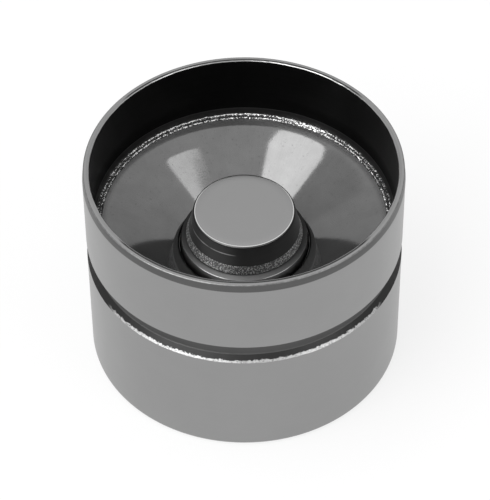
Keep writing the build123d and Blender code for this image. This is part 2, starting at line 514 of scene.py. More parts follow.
@dataclass(frozen=True)
class PaintedShadeRing(Finish):
    """Pressed steel with painted shade next to the weld and weld spatter near its rim.

    Attributes:
        ring_inner: Radius from which the painted shade and the spatter show, mm.
        ring_outer: Radius at which they are strongest, mm.
        dull_inner: Radius from which the metal is duller, mm.
        spatter_x: Place along X round which the spatter is dense, mm.
        spatter_reach: Distance along X over which it thins out, mm.
        spatter_y: Place along Y from which it is dense, mm.
        ring_roughness: Roughness at the ring's outer radius.
        soot_and_shade: Share by which painted shade darkens the ring, and what is added to it where spatter
            is dense.
        grains: Cells of the specks' noise in a millimetre.
        crowd: What the ring adds to that noise for dark specks, and what dense spatter adds.
        crowd_bright: What dense spatter adds to it for bright specks.
        dark: Share by which a dark speck is darker.
        bright: Share by which a bright speck is brighter.
        dark_levels: Levels of the noise between which a speck gets dark.
        bright_levels: Levels between which it gets bright.
    """

    ring_inner: float = 15.0
    ring_outer: float = 15.7
    dull_inner: float = 14.85
    spatter_x: float = 7.0
    spatter_reach: float = 5.5
    spatter_y: float = 6.0
    ring_roughness: float = 0.3
    soot_and_shade: tuple[float, float] = (0.2, 0.35)
    grains: float = 5.5
    crowd: tuple[float, float] = (0.08, 0.17)
    crowd_bright: float = 0.25
    dark: float = 0.7
    bright: float = 2.5
    dark_levels: tuple[float, float] = (0.68, 0.8)
    bright_levels: tuple[float, float] = (0.82, 0.9)

    def roughness_signal(self, spot: Spot) -> Signal:
        """The plain roughness, which rises towards the weld."""
        near = spot.radius().above(self.dull_inner, self.ring_outer)
        return super().roughness_signal(spot) + near * (self.ring_roughness - self.roughness)

    def tone_signal(self, spot: Spot, marks: Signal | None) -> Signal:
        """The plain tone, darkened by painted shade and by specks whose cover grows towards the weld.

        Args:
            spot: The point.
            marks: Tool marks, if there are any.

        Returns:
            The linear grey level over the surface.
        """
        near = spot.radius().above(self.ring_inner, self.ring_outer)
        aside = abs(spot.x - self.spatter_x)
        dense = (1.0 - aside.above(0.0, self.spatter_reach)) * spot.y.above(0.0, self.spatter_y)
        grain = spot.noise(self.grains)
        dark = (grain + near * (dense * self.crowd[1] + self.crowd[0])).above(*self.dark_levels)
        light = (grain + near * dense * self.crowd_bright).above(*self.bright_levels)
        specks = 1.0 - dark * self.dark + light * self.bright
        # Painted shade next to the weld, deeper where spatter is dense.
        shade = 1.0 - near * (dense * self.soot_and_shade[1] + self.soot_and_shade[0])
        return super().tone_signal(spot, marks) * specks * shade


GROUND_WALL = Finish("ground_skirt", 0.30, 0.36, mark_pitch=0.10, cloud=0.035)
CAM_FACE = Finish("ground_cam_face", 0.34, 0.22, mark_pitch=0.16, cloud=0.04)
TURNED_TAPER = Finish("turned_lead_in", 0.115, 0.42, mark_pitch=0.2, cloud=0.12)
RIM_ROUND = Finish(
    "burnished_rim_outside", 0.2, 0.33, lay=Lay.NONE, grain_size=0.2, grain_depth=0.003, cloud=0.6,
    cloud_size=0.5
)
RIM_LAND = Finish("turned_rim", 0.295, 0.32, mark_pitch=0.1, cloud=0.10)
# Painted shade: a dark line on the rim land at front and back, which takes the land's tone towards the
# sides.
RIM_SHADOW = PaintedLightAside(
    "rim_line_painted_shade", 0.06, 0.4, lay=Lay.NONE, cloud=0.5, cloud_size=4.0, near=12.5, far=30.0, other=0.27
)
RIM_EDGE = Finish("burnished_rim_edge", 0.38, 0.25, lay=Lay.NONE, cloud=0.5, cloud_size=2.0)
SEAT_BAND = Finish("tempered_seat_band", 0.075, 0.4, mark_pitch=0.3, cloud=0.2)
BAND_EDGE = Finish("seat_band_edge", 0.11, 0.35, cloud=0.3, cloud_size=2.0)
GROOVE = Finish("turned_groove", 0.10, 0.45, mark_pitch=0.15, cloud=0.15)
# Near-black bore wall.
BLACK_WALL = Finish("near_black_bore", 0.015, 0.42, mark_pitch=0.3, cloud=0.3, mark_depth=0.0012)
HIDDEN_BORE = Finish("turned_inside", 0.2, 0.45, mark_pitch=0.3, cloud=0.15)
OILWAY = Finish("drilled_oilway", 0.12, 0.45, lay=Lay.NONE)
# Pressed funnel, with painted shade in a ring next to the weld.
PRESSED = PaintedShadeRing(
    "pressed_funnel", 0.15, 0.07, 0.75, Lay.DRAWN, mark_depth=0.0002, grain_size=0.22, grain_depth=0.001,
    cloud=0.16, cloud_size=2.0, specks=0.25
)
# Dark lip with a thin painted highlight line round its crest.
TUBE_LIP = PaintedHighlightLine("lip_painted_highlight", 0.05, 0.25, cloud=0.3, line_height=14.16, line_half=0.035, other=0.9)
TUBE_BORE = Finish("drawn_tube", 0.12, 0.35, cloud=0.15)
# Weld: painted highlight on the crests, soot and painted shade in the valleys.
WELD = PaintedWeldLight("weld_bead", 0.8, 0.3, 0.4, Lay.NONE, grain_depth=0.03, grain_size=0.16)
NOSE_FACE = Finish("ground_nose", 0.295, 0.2, mark_pitch=0.1, cloud=0.02)
# Painted highlight: a near-white strip round the nose's edge.
NOSE_EDGE = Finish("nose_edge_painted_highlight", 0.7, 0.1, lay=Lay.NONE, cloud=0.2, cloud_size=1.5)
# Turned nose side with a thin painted reflection line round its left half.
NOSE_SIDE = PaintedHighlightLine(
    "turned_nose_painted_highlight", 0.09, 0.34, mark_pitch=0.2, cloud=0.2, line_height=18.05, line_half=0.05, other=0.6,
    ends_at=-0.5
)
# Painted sparkle: white grains on the blasted neck stand in for highlights.
NOSE_NECK = PaintedSparkle(
    "blasted_neck_painted_sparkle", 0.27, 0.35, lay=Lay.NONE, grain_size=0.15, grain_depth=0.02, cloud=0.3,
    cloud_size=1.0, other=1.0, cover=0.5
)
NOSE_SHOULDER = Finish("turned_shoulder", 0.11, 0.5, cloud=0.3)
# Painted highlight: the shoulder's edge is brighter to the left and right of its middle.
SHOULDER_EDGE = PaintedLightAside("shoulder_edge_painted_highlight", 0.12, 0.3, lay=Lay.NONE, cloud=0.3, other=0.4)
HOUSING_SIDE = Finish("ground_housing", 0.34, 0.3)
PLUNGER_SIDE = Finish("lapped_plunger", 0.4, 0.2, mark_pitch=0.08)
BALL = Finish("lapped_ball", 0.55, 0.06, lay=Lay.NONE, grain_depth=0.0, cloud=0.01)
CAGE = Finish("pressed_cage", 0.3, 0.32, lay=Lay.DRAWN)
WIRE = Finish("drawn_wire", 0.3, 0.28, lay=Lay.NONE, grain_size=0.1, cloud=0.1)


@dataclass(frozen=True)
class Corner:
    """A corner of a turned section.

    Attributes:
        radius: Distance from the axis, mm.
        height: Height over the cam face, mm.
        finish: Finish of the stretch from this corner to the next.
        fillet: Radius that rounds the corner, mm.
        rounding: Finish of that fillet, where it isn't the next stretch's.
    """

    radius: float
    height: float
    finish: Finish
    fillet: float = 0.0
    rounding: Finish | None = None


def plain(finish: Finish, *corners: tuple[float, ...]) -> list[Corner]:
    """Corners of one finish, each given as radius, height and a fillet where it has one."""
    return [Corner(radius, height, finish, *fillet) for radius, height, *fillet in corners]


@dataclass
class Section:
    """A section sampled as points.

    Attributes:
        points: Radius and height of each point, mm, in rows.
        steps: For each point, the number of the finish up to the next point.
        finishes: The finishes that the numbers stand for.
        closed: Whether the last point joins the first. Otherwise both lie on the axis.
    """

    points: np.ndarray
    steps: np.ndarray
    finishes: list[Finish]
    closed: bool


def unit(vector: np.ndarray) -> np.ndarray:
    """The vector at a length of one."""
    return vector / np.linalg.norm(vector)


def fillet_arc(
    back: np.ndarray, here: np.ndarray, ahead: np.ndarray, radius: float, steps: int
) -> np.ndarray:
    """Points of the arc that rounds a corner.

    The arc is tangent to both sides at a distance of radius / tan(half the corner's angle), and its
    points are spread evenly by weighting the two tangent points with sines of the swept angle.

    Args:
        back: The corner before.
        here: The corner.
        ahead: The corner after.
        radius: Radius of the arc.
        steps: Number of chords.

    Returns:
        The arc's points, from the first tangent point to the second.
    """
    if not radius:
        return here[None]
    before, after = unit(back - here), unit(ahead - here)
    half = acos(float(before @ after)) / 2
    reach = radius / tan(half)
    centre = here + unit(before + after) * radius / sin(half)
    sweep = pi - 2 * half
    share = np.linspace(0, 1, steps + 1)[:, None]
    first, last = here + before * reach - centre, here + after * reach - centre
    return centre + (np.sin((1 - share) * sweep) * first + np.sin(share * sweep) * last) / sin(sweep)


def trace(corners: list[Corner], closed: bool, pitch: float = 1.0, arc_steps: int = 8) -> Section:
    """Sample a section through its corners.

    Args:
        corners: The corners, with the metal on the left of the way from one to the next.
        closed: Whether the section closes off the axis.
        pitch: Longest step on a straight stretch, mm.
        arc_steps: Chords in each fillet.

    Returns:
        The sampled section.
    """
    places = np.array([(corner.radius, corner.height) for corner in corners])
    count = len(corners)
    arcs = [
        fillet_arc(places[k - 1], places[k], places[(k + 1) % count], corners[k].fillet, arc_steps)
        for k in range(count)
    ]
    finishes: list[Finish] = []
    points, steps = [], []
    for k, corner in enumerate(corners):
        for finish in (corner.rounding, corner.finish):
            if finish is not None and finish not in finishes:
                finishes.append(finish)
        side = finishes.index(corner.finish)
        bend = finishes.index(corner.rounding) if corner.rounding else side
        points.append(arcs[k])
        steps.append(np.full(len(arcs[k]), bend))
        steps[-1][-1] = side
        if k == count - 1 and not closed:
            break
        start, end = arcs[k][-1], arcs[(k + 1) % count][0]
        parts = max(1, ceil(np.linalg.norm(end - start) / pitch))
        share = np.arange(1, parts)[:, None] / parts
        points.append(start + (end - start) * share)
        steps.append(np.full(parts - 1, side))
    return Section(np.concatenate(points), np.concatenate(steps), finishes, closed)


def ring_noise(angle: np.ndarray, cells: int, seed: int) -> np.ndarray:
    """Smooth noise from -1 to 1 round a ring, which closes on itself.

    Random values stand at even angles. Between two of them the value is eased by the share s of the
    way as 3 s^2 - 2 s^3.

    Args:
        angle: Angles, in radians.
        cells: Number of random values round the ring.
        seed: Seed of the random values.

    Returns:
        The noise at each angle.
    """
    values = np.random.default_rng(seed).uniform(-1, 1, cells)
    place = angle / (2 * pi) * cells
    low = np.floor(place).astype(int)
    share = place - low
    eased = share * share * (3 - 2 * share)
    return values[low % cells] * (1 - eased) + values[(low + 1) % cells] * eased


Waves = tuple[tuple[int, int, float], ...]


def ring_waves(angle: np.ndarray, waves: Waves, folded: bool = False) -> np.ndarray:
    """Sum of several such noises.

    Args:
        angle: Angles, in radians.
        waves: For each noise the number of its random values, their seed and its strength.
        folded: Whether each noise counts by its size alone, so that the sum is never below 0.

    Returns:
        The sum at each angle.
    """
    noises = [ring_noise(angle, cells, seed) * strength for cells, seed, strength in waves]
    return sum(np.abs(noise) if folded else noise for noise in noises)


def new_object(name: str, data: bpy.types.ID) -> bpy.types.Object:
    """Put some data into the scene.

    Args:
        name: Name of the object.
        data: The mesh, lamp or camera that it holds.

    Returns:
        The object.
    """
    made = bpy.data.objects.new(name, data)
    bpy.context.scene.collection.objects.link(made)
    return made


def solid(
    name: str, points: np.ndarray, faces: list, finishes: list[Finish], owner: np.ndarray
) -> bpy.types.Object:
    """Make a mesh object.

    Args:
        name: Name of the piece.
        points: Its points in rows, mm.
        faces: Its faces, as point numbers.
        finishes: The finishes on it.
        owner: The number of each face's finish.

    Returns:
        The object, at the origin, smooth but for its sharp edges.
    """
    mesh = bpy.data.meshes.new(name)
    mesh.from_pydata(points * MM, [], faces)
    for finish in finishes:
        mesh.materials.append(finish.material())
    mesh.polygons.foreach_set("material_index", owner.astype(np.int32))
    mesh.validate()
    mesh.shade_smooth()
    mesh.set_sharp_from_angle(angle=SHARP_ANGLE)
    return new_object(name, mesh)


Relief = Callable[[np.ndarray, np.ndarray, np.ndarray], tuple[np.ndarray, np.ndarray]]


def turn(name: str, section: Section, around: int, relief: Relief | None = None) -> bpy.types.Object:
    """Turn a section about the axis.

    Row i and column j of the grid lie at (r cos a, r sin a, z), with the radius r and height z of
    the section's point i and the angle a = 2 pi j / around. A row on the axis is one point.

    Args:
        name: Name of the piece.
        section: Its section.
        around: Number of columns.
        relief: Takes angle, radius and height over the grid and gives the radius and height with
            the unevenness of the surface.

    Returns:
        The turned piece.
    """
    radius, height = section.points[:, :1], section.points[:, 1:]
    angle = np.arange(around)[None] * (2 * pi / around)
    radius, height, angle = np.broadcast_arrays(radius, height, angle)
    if relief:
        radius, height = relief(angle, radius, height)
    grid = np.stack([radius * np.cos(angle), radius * np.sin(angle), height], -1)
    rows = len(section.points)
    numbers = np.arange(rows * around).reshape(rows, around)
    if section.closed:
        low, high = numbers, np.roll(numbers, -1, axis=0)
        owner = section.steps
    else:
        low, high = numbers[1:-2], numbers[2:-1]
        owner = section.steps[1:-2]
    quads = np.stack([low, np.roll(low, -1, 1), np.roll(high, -1, 1), high], -1).reshape(-1, 4)
    owner = np.repeat(owner, around)
    if section.closed:
        return solid(name, grid.reshape(-1, 3), quads.tolist(), section.finishes, owner)
    first, last = numbers[1], numbers[-2]
    start = np.stack([np.full(around, 0), np.roll(first, -1), first], -1)
    end = np.stack([np.full(around, 1), last, np.roll(last, -1)], -1)
    shift = 2 - around
    faces = (quads + shift).tolist() + np.where([[0, 1, 1]], start + shift, start).tolist()
    faces += np.where([[0, 1, 1]], end + shift, end).tolist()
    points = np.concatenate([grid[:1, 0], grid[-1:, 0], grid[1:-1].reshape(-1, 3)])
    owner = np.concatenate([owner, np.full(around, section.steps[0]), np.full(around, section.steps[-2])])
    return solid(name, points, faces, section.finishes, owner)


def sweep_wire(
    name: str, path: np.ndarray, wire_radius: float, finish: Finish, sides: int = 16
) -> bpy.types.Object:
    """Sweep round wire along a path about the axis.

    At each point of the path, the wire's circle lies in the plane of two directions: away from the
    axis, and the path's tangent crossed with it. Both ends are closed by a fan about their middle.

    Args:
        name: Name of the piece.
        path: Points of the wire's middle line, mm.
        wire_radius: Radius of the wire, mm.
        finish: Its finish.
        sides: Number of sides of the wire's section.

    Returns:
        The wire.
    """
    tangent = np.gradient(path, axis=0)
    tangent /= np.linalg.norm(tangent, axis=1, keepdims=True)
    outward = path * (1, 1, 0)
    outward /= np.linalg.norm(outward, axis=1, keepdims=True)
    upward = np.cross(outward, tangent)
    upward /= np.linalg.norm(upward, axis=1, keepdims=True)
    outward = np.cross(tangent, upward)
    turns = np.arange(sides) * (2 * pi / sides)
    ring = np.cos(turns)[None, :, None] * outward[:, None] + np.sin(turns)[None, :, None] * upward[:, None]
    points = (path[:, None] + wire_radius * ring).reshape(-1, 3)
    numbers = np.arange(len(points)).reshape(-1, sides)
    low, high = numbers[:-1], numbers[1:]
    quads = np.stack([low, high, np.roll(high, -1, 1), np.roll(low, -1, 1)], -1).reshape(-1, 4)
    middle = np.full(sides, len(points))
    start = np.stack([middle, numbers[0], np.roll(numbers[0], -1)], -1)
    end = np.stack([middle + 1, np.roll(numbers[-1], -1), numbers[-1]], -1)
    points = np.concatenate([points, path[[0, -1]]])
    faces = quads.tolist() + start.tolist() + end.tolist()
    return solid(name, points, faces, [finish], np.zeros(len(faces)))


def cut(piece: bpy.types.Object, cutter: bpy.types.Object) -> None:
    """Cut one closed shell out of another, for good.

    Args:
        piece: The shell that is cut.
        cutter: The shell that is taken out, which is removed.
    """
    modifier = piece.modifiers.new("cut", "BOOLEAN")
    modifier.operation = "DIFFERENCE"
    modifier.solver = "EXACT"
    modifier.object = cutter
    graph = bpy.context.evaluated_depsgraph_get()
    mesh = bpy.data.meshes.new_from_object(piece.evaluated_get(graph))
    piece.modifiers.clear()
    piece.data = mesh
    mesh.set_sharp_from_angle(angle=SHARP_ANGLE)
    bpy.data.objects.remove(cutter)


def settle(piece: bpy.types.Object, body: str, slot: str, *nodes: str) -> None:
    """Put a piece on its body and in place of its solids.

    Args:
        piece: The finished piece.
        body: The body that it moves with.
        slot: Not used.
        nodes: The nodes that it stands for.
    """
    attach(piece, body)
    if nodes:
        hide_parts(*nodes)
    log.info("%s rides on %s, %d faces", piece.name, body, len(piece.data.polygons))


@dataclass
class Bucket:
    """The bucket: closed cam face, skirt with an oil groove, ledge for the funnel, thin mouth."""

    outer_radius: float = 17.5
    height: float = 26.0
    face_wall: float = 3.2  # thickness of the closed end
    face_edge: float = 0.55  # rounding of the cam face's edge
    floor_corner: float = 1.5  # rounding inside
    skirt_inner: float = 15.3  # radius, like the next two
    seat_inner: float = 16.4
    mouth_inner: float = 16.75
    ledge: float = 17.15  # height at which it meets the wall
    ledge_slope: float = 14.4
    ledge_inner: float = 15.64  # radius of its inner edge
    step_low: float = 18.3  # height from which the wall tapers to the thin mouth
    band_top: float = 18.95  # height up to which the taper is coloured by heat
    step_high: float = 19.7  # height at which the taper ends
    rim_chamfer: float = 0.06
    rim_rounding: float = 0.12
    shade_line_inner: float = 0.1  # where the rim's painted shade line begins, out from the mouth's radius
    shade_line_outer: float = 0.3  # where it ends
    lead_in_height: float = 0.95
    lead_in_depth: float = 0.1
    groove_middle: float = 15.1  # height
    groove_width: float = 2.5
    groove_floor: float = 1.0
    groove_depth: float = 0.7
    groove_corner: float = 0.3
    torn_depth: float = 0.04  # the torn lip: how far it leans in, and from where to where
    torn_low: float = 0.02
    torn_high: float = 0.03
    band_edge: float = 0.12
    tear: float = 0.08  # how far the lip sinks at most
    tear_waves: Waves = ((190, 3, 0.6), (61, 4, 0.4))
    rim_wander: float = 0.035  # how far the rim's inner edge wanders at most
    rim_waves: Waves = ((240, 5, 0.5), (83, 6, 0.5))
    burr_reach: float = 0.3  # distance from an edge at which its unevenness ends
    feed_hole: float = 2.0  # diameter
    slot_width: float = 3.0
    slot_length: float = 12.95
    slot_depth: float = 0.4
    cutter_sides: int = 48
    cutter_past: float = 1.0  # how far a cutter stands past what it cuts
    around: int = 768

    def step_radius(self, height: float) -> float:
        """Radius of the taper between the seat and the thin mouth at a height."""
        share = (height - self.step_low) / (self.step_high - self.step_low)
        return self.seat_inner + (self.mouth_inner - self.seat_inner) * share

    def section(self) -> Section:
        """Draw the bucket from the middle of the cam face round to the middle of the floor.

        Returns:
            The bucket's section.
        """
        wall, top, mouth, skirt = self.outer_radius, self.height, self.mouth_inner, self.skirt_inner
        ledge_z = self.ledge - (self.seat_inner - self.ledge_inner) * tan(radians(self.ledge_slope))
        lip = self.groove_middle - self.groove_width / 2
        groove_r = wall - self.groove_depth
        floor_low, floor_high = (self.groove_middle + k * self.groove_floor / 2 for k in (-1, 1))
        band_low = self.band_top - self.band_edge
        # Groove's lower flank: painted shade, with torn metal at the lip whose brightness is partly painted
        # highlight, faded at the far sides along X.
        torn = TornEdgePaintedLight(
            "torn_groove_edge_painted_light", 0.04, 0.4, lay=Lay.NONE, grain_depth=0.004, grain_size=0.25,
            edge_height=lip, tear=0.28, other=0.55
        )
        corners = [
            Corner(0, 0, CAM_FACE),
            Corner(wall, 0, GROUND_WALL, self.face_edge),
            *plain(torn, (wall, lip - self.torn_low), (wall - self.torn_depth, lip + self.torn_high)),
            *plain(
                GROOVE,
                (groove_r, floor_low, self.groove_corner),
                (groove_r, floor_high, self.groove_corner),
            ),
            Corner(wall, self.groove_middle + self.groove_width / 2, GROUND_WALL),
            Corner(wall, top - self.lead_in_height, TURNED_TAPER),
            Corner(wall - self.lead_in_depth, top, RIM_LAND, self.rim_rounding, RIM_ROUND),
            # Painted shade line on the rim land, between these two corners.
            Corner(mouth + self.shade_line_outer, top, RIM_SHADOW),
            Corner(mouth + self.shade_line_inner, top, RIM_LAND),
            Corner(mouth + self.rim_chamfer, top, RIM_EDGE),
            *plain(BLACK_WALL, (mouth, top - self.rim_chamfer), (mouth, self.step_high)),
            Corner(self.step_radius(self.band_top), self.band_top, BAND_EDGE),
            *plain(SEAT_BAND, (self.step_radius(band_low), band_low), (self.seat_inner, self.step_low)),
            *plain(
                HIDDEN_BORE,
                (self.seat_inner, self.ledge),
                (self.ledge_inner, ledge_z),
                (skirt, ledge_z - self.ledge_inner + skirt),
                (skirt, self.face_wall, self.floor_corner),
                (0, self.face_wall),
            ),
        ]
        return trace(corners, closed=False)

    def burrs(
        self, angle: np.ndarray, radius: np.ndarray, height: np.ndarray
    ) -> tuple[np.ndarray, np.ndarray]:
        """Let the groove's lower lip and the rim's inner edge wander.

        Each edge moves by noise round the axis, times a weight that falls from 1 at the edge to 0 at
        a short distance from it. The lip only sinks and the wall never grows.

        Args:
            angle: Angle of each point.
            radius: Its radius.
            height: Its height.

        Returns:
            The new radius and height.
        """
        lip = self.groove_middle - self.groove_width / 2
        outside = radius > self.outer_radius - self.groove_depth / 2
        lip_weight = np.clip(1 - np.abs(height - lip) / self.burr_reach, 0, 1) * outside
        chips = ring_waves(angle, self.tear_waves, folded=True)
        height = height - lip_weight * chips * self.tear
        inside = radius < self.mouth_inner + self.shade_line_outer
        rim_weight = np.clip(1 - (self.height - height) / self.burr_reach, 0, 1) * inside
        wander = ring_waves(angle, self.rim_waves)
        return radius + rim_weight * wander * self.rim_wander, height

    def oilways(self) -> list[bpy.types.Object]:
        """Cutters for the feed hole in the groove and for the slot under the plunger.

        The hole is a cylinder along Y: at (r cos a, y, z + r sin a) for two values of y. The slot is
        the outline of two half circles, carried between two heights.

        Returns:
            The cutter of the hole and that of the slot.
        """
        turns = np.arange(self.cutter_sides) * (2 * pi / self.cutter_sides)
        hole_r = self.feed_hole / 2
        hole = np.stack([hole_r * np.cos(turns), 0 * turns, self.groove_middle + hole_r * np.sin(turns)], -1)
        hole_start = hole + (0, self.outer_radius + self.cutter_past, 0)
        hole_end = hole + (0, self.skirt_inner - self.cutter_past, 0)
        half = self.slot_length / 2 - self.slot_width / 2
        side = np.where(np.cos(turns + 1e-6) > 0, half, -half)
        slot_r = self.slot_width / 2
        slot = np.stack([side + slot_r * np.cos(turns), slot_r * np.sin(turns), 0 * turns], -1)
        slot_low = slot + (0, 0, self.face_wall - self.slot_depth)
        slot_high = slot + (0, 0, self.face_wall + self.cutter_past)
        return [prism("feed_hole", hole_start, hole_end), prism("oil_slot", slot_low, slot_high)]

    def build(self) -> None:
        """Make the bucket."""
        shell = turn("bucket_shell", self.section(), self.around, self.burrs)
        for cutter in self.oilways():
            cut(shell, cutter)
        settle(shell, "bucket", "ground_steel", "tappet_body")


def prism(name: str, low: np.ndarray, high: np.ndarray) -> bpy.types.Object:
    """A closed prism between two outlines of as many points, in the finish of an oilway.

    Args:
        name: Name of the piece.
        low: First outline, counterclockwise as seen from the second.
        high: Second outline.

    Returns:
        The prism.
    """
    count = len(low)
    first = np.arange(count)
    sides = np.stack([first, np.roll(first, -1), np.roll(first, -1) + count, first + count], -1)
    faces = sides.tolist() + [first[::-1].tolist(), (first + count).tolist()]
    return solid(name, np.concatenate([low, high]), faces, [OILWAY], np.zeros(len(faces)))


@dataclass
class Funnel:
    """The guide cone: a sloping flange that bends into a cone, a rolled lip and the guide tube."""

    flange_radius: float = 16.38
    flange_under: float = 17.145  # height of its underside at the rim
    flange_slope: float = 14.4
    flange_width: float = 2.2  # along the radius
    sheet: float = 0.9  # thickness
    bend: float = 12.4  # radius of the underside between flange and cone
    drop: float = 3.39  # fall from that corner to the lip's
    lip: float = 0.7  # radius
    guide_radius: float = 7.03
    tube_wall: float = 1.0
    tube_end: float = 8.19  # height
    tube_chamfer: float = 0.1
    around: int = 512

    def section(self) -> Section:
        """Draw the funnel from the flange down the cone and round the tube.

        Returns:
            The funnel's section.
        """
        fall = radians(self.flange_slope)
        rim_z = self.flange_under + self.sheet / cos(fall)
        top_r = self.flange_radius - self.flange_width
        top_z = rim_z - self.flange_width * tan(fall)
        lip_z = top_z - self.drop
        slope = atan2(self.drop, top_r - self.guide_radius)
        half = (slope - fall) / 2
        offset = self.sheet / cos(half)
        under_r, under_z = top_r + offset * sin(fall + half), top_z - offset * cos(fall + half)
        guide, outer, tube_end = self.guide_radius, self.guide_radius + self.tube_wall, self.tube_end
        outer_z = lip_z + self.tube_wall * tan(slope) - self.sheet / cos(slope)
        corners = [
            *plain(PRESSED, (self.flange_radius, rim_z), (top_r, top_z, self.bend + self.sheet)),
            Corner(guide, lip_z, TUBE_BORE, self.lip, TUBE_LIP),
            *plain(
                TUBE_BORE,
                (guide, tube_end + self.tube_chamfer),
                (guide + self.tube_chamfer, tube_end),
                (outer, tube_end),
                (outer, outer_z, self.lip),
                (under_r, under_z, self.bend),
                (self.flange_radius, self.flange_under),
            ),
        ]
        return trace(corners, closed=True, arc_steps=20)

    def build(self) -> None:
        """Make the funnel."""
        settle(turn("guide_funnel", self.section(), self.around), "bucket", "pressed_steel", "guide_cone")


def hump(offset: np.ndarray, half: float) -> np.ndarray:
    """Rise of a rounded ridge: cos(pi d / 2)^2 for the distance d from its middle in half widths."""
    return np.cos(np.clip(offset / half, -1, 1) * pi / 2) ** 2


def stretch(angle: np.ndarray, middle: float, half: float) -> np.ndarray:
    """Rise of such a ridge round the axis, from its middle and half its width in degrees."""
    return hump(angle - radians(middle), radians(half))


@dataclass
class WeldBead:
    """The weld between funnel and bucket: two rough ridges with a valley between them, darkened by soot and
    painted shade.

    Attributes:
        wall_radius: Radius at which the bead meets the wall, mm.
        wall_height: Height of that edge, mm.
        toe_radius: Radius at which it runs out on the flange, mm.
        toe_height: Height of the toe, mm.
        ridge: Height of the ridges over the straight line from wall to toe, mm.
        ridges: Places of the ridges, as shares of the way from wall to toe.
        ridge_half: Half of a ridge's width, as such a share.
        lap: Stretch where start and end of the weld lap and fill the valley. A stretch is the angle
            of its middle and half its width, degrees.
        lap_across: Middle of that filling and half its width, as shares of the way.
        calm: Stretch where the weld is smoother.
        calming: Share of its roughness that is gone there.
        close: Stretch where the outer ridge climbs the wall.
        climb: How far it climbs, as a share of the way from wall to toe.
        strong: Stretch where the outer ridge is high.
        smooth: Stretch where it is least broken.
        outer_heights: Its height elsewhere, and what those two stretches add, as shares of ridge.
        inner_height: Height of the inner ridge, as such a share.
        even: Share of a ridge's height that is even. The rest comes from the waves.
        outer_waves: Noise of the outer ridge.
        inner_waves: Noise of the inner ridge.
        sway: Noise by which the ridges wander sideways, mm.
        sunk: Depth to which the bead goes into the metal, mm.
        rows: Points from wall to toe.
        around: Columns round the axis.
    """

    wall_radius: float = 16.4
    wall_height: float = 18.2
    toe_radius: float = 15.7
    toe_height: float = 17.9
    ridge: float = 0.16
    ridges: tuple[float, float] = (0.29, 0.79)
    ridge_half: float = 0.21
    lap: tuple[float, float] = (63.0, 17.0)
    lap_across: tuple[float, float] = (0.42, 0.45)
    calm: tuple[float, float] = (63.0, 20.0)
    calming: float = 0.7
    close: tuple[float, float] = (95.0, 22.0)
    climb: float = 0.1
    strong: tuple[float, float] = (95.0, 95.0)
    smooth: tuple[float, float] = (118.0, 16.0)
    outer_heights: tuple[float, float, float] = (0.4, 0.6, 0.35)
    inner_height: float = 0.75
    even: float = 0.55
    outer_waves: Waves = ((420, 11, 0.5), (150, 12, 0.35))
    inner_waves: Waves = ((390, 13, 0.5), (170, 14, 0.35))
    sway: Waves = ((230, 15, 0.05),)
    sunk: float = 0.33
    rows: int = 24
    around: int = 1536

    def crest(self, share: np.ndarray, angle: np.ndarray) -> np.ndarray:
        """How far the bead stands up, from 0 to 1.

        Args:
            share: Place from 0 at the wall to 1 at the toe.
            angle: Angle round the axis, in radians.

        Returns:
            The higher of the two ridges and the lap. The lap is a hump in both directions.
        """
        climb = self.climb * stretch(angle, *self.close)
        plain_height, strong, smooth = self.outer_heights
        strength = plain_height + strong * stretch(angle, *self.strong)
        strength = strength + smooth * stretch(angle, *self.smooth)
        outer = hump(share - self.ridges[0] + climb, self.ridge_half) * strength
        inner = hump(share - self.ridges[1], self.ridge_half) * self.inner_height
        lap_middle, lap_half = self.lap_across
        lap = stretch(angle, *self.lap) * hump(share - lap_middle, lap_half)
        return np.maximum(np.maximum(outer, inner), lap)

    def build(self) -> None:
        """Make the bead.

        The surface runs straight from the wall's edge to the toe and rises by its crest times noise
        round the axis. Its underside is the same line, sunk into the metal.
        """
        share = np.linspace(0, 1, self.rows)
        radius = self.wall_radius + (self.toe_radius - self.wall_radius) * share
        height = self.wall_height + (self.toe_height - self.wall_height) * share
        points = np.stack([radius, height], -1)
        under = points[::-1] - (0, self.sunk)
        section = Section(np.concatenate([points, under]), np.zeros(2 * self.rows, int), [WELD], True)
        turns = np.arange(self.around)[None] * (2 * pi / self.around)
        crest = np.zeros((2 * self.rows, self.around))
        crest[: self.rows] = self.crest(share[:, None], turns)
        blend = np.concatenate([share, share[::-1]])[:, None]

        def ripple(angle: np.ndarray, r: np.ndarray, z: np.ndarray) -> tuple[np.ndarray, np.ndarray]:
            """Raise the ridges, each with its own noise, and let them wander sideways.

            Args:
                angle: Angle of each point.
                r: Its radius.
                z: Its height.

            Returns:
                The new radius and height.
            """
            outer, inner = ring_waves(angle, self.outer_waves), ring_waves(angle, self.inner_waves)
            rough = 1.0 - self.calming * stretch(angle, *self.calm)
            lift = (outer * (1 - blend) + inner * blend) * rough
            sway = ring_waves(angle, self.sway)
            return r + sway * crest, z + crest * self.ridge * (self.even + lift)

        bead = turn("weld_bead", section, self.around, ripple)
        # The crest drives the weld's painted highlight on its ridges and its painted shade between them.
        mark = bead.data.attributes.new("crest", "FLOAT", "POINT")
        mark.data.foreach_set("value", crest.ravel().astype(np.float32))
        settle(bead, "bucket", "pressed_steel")


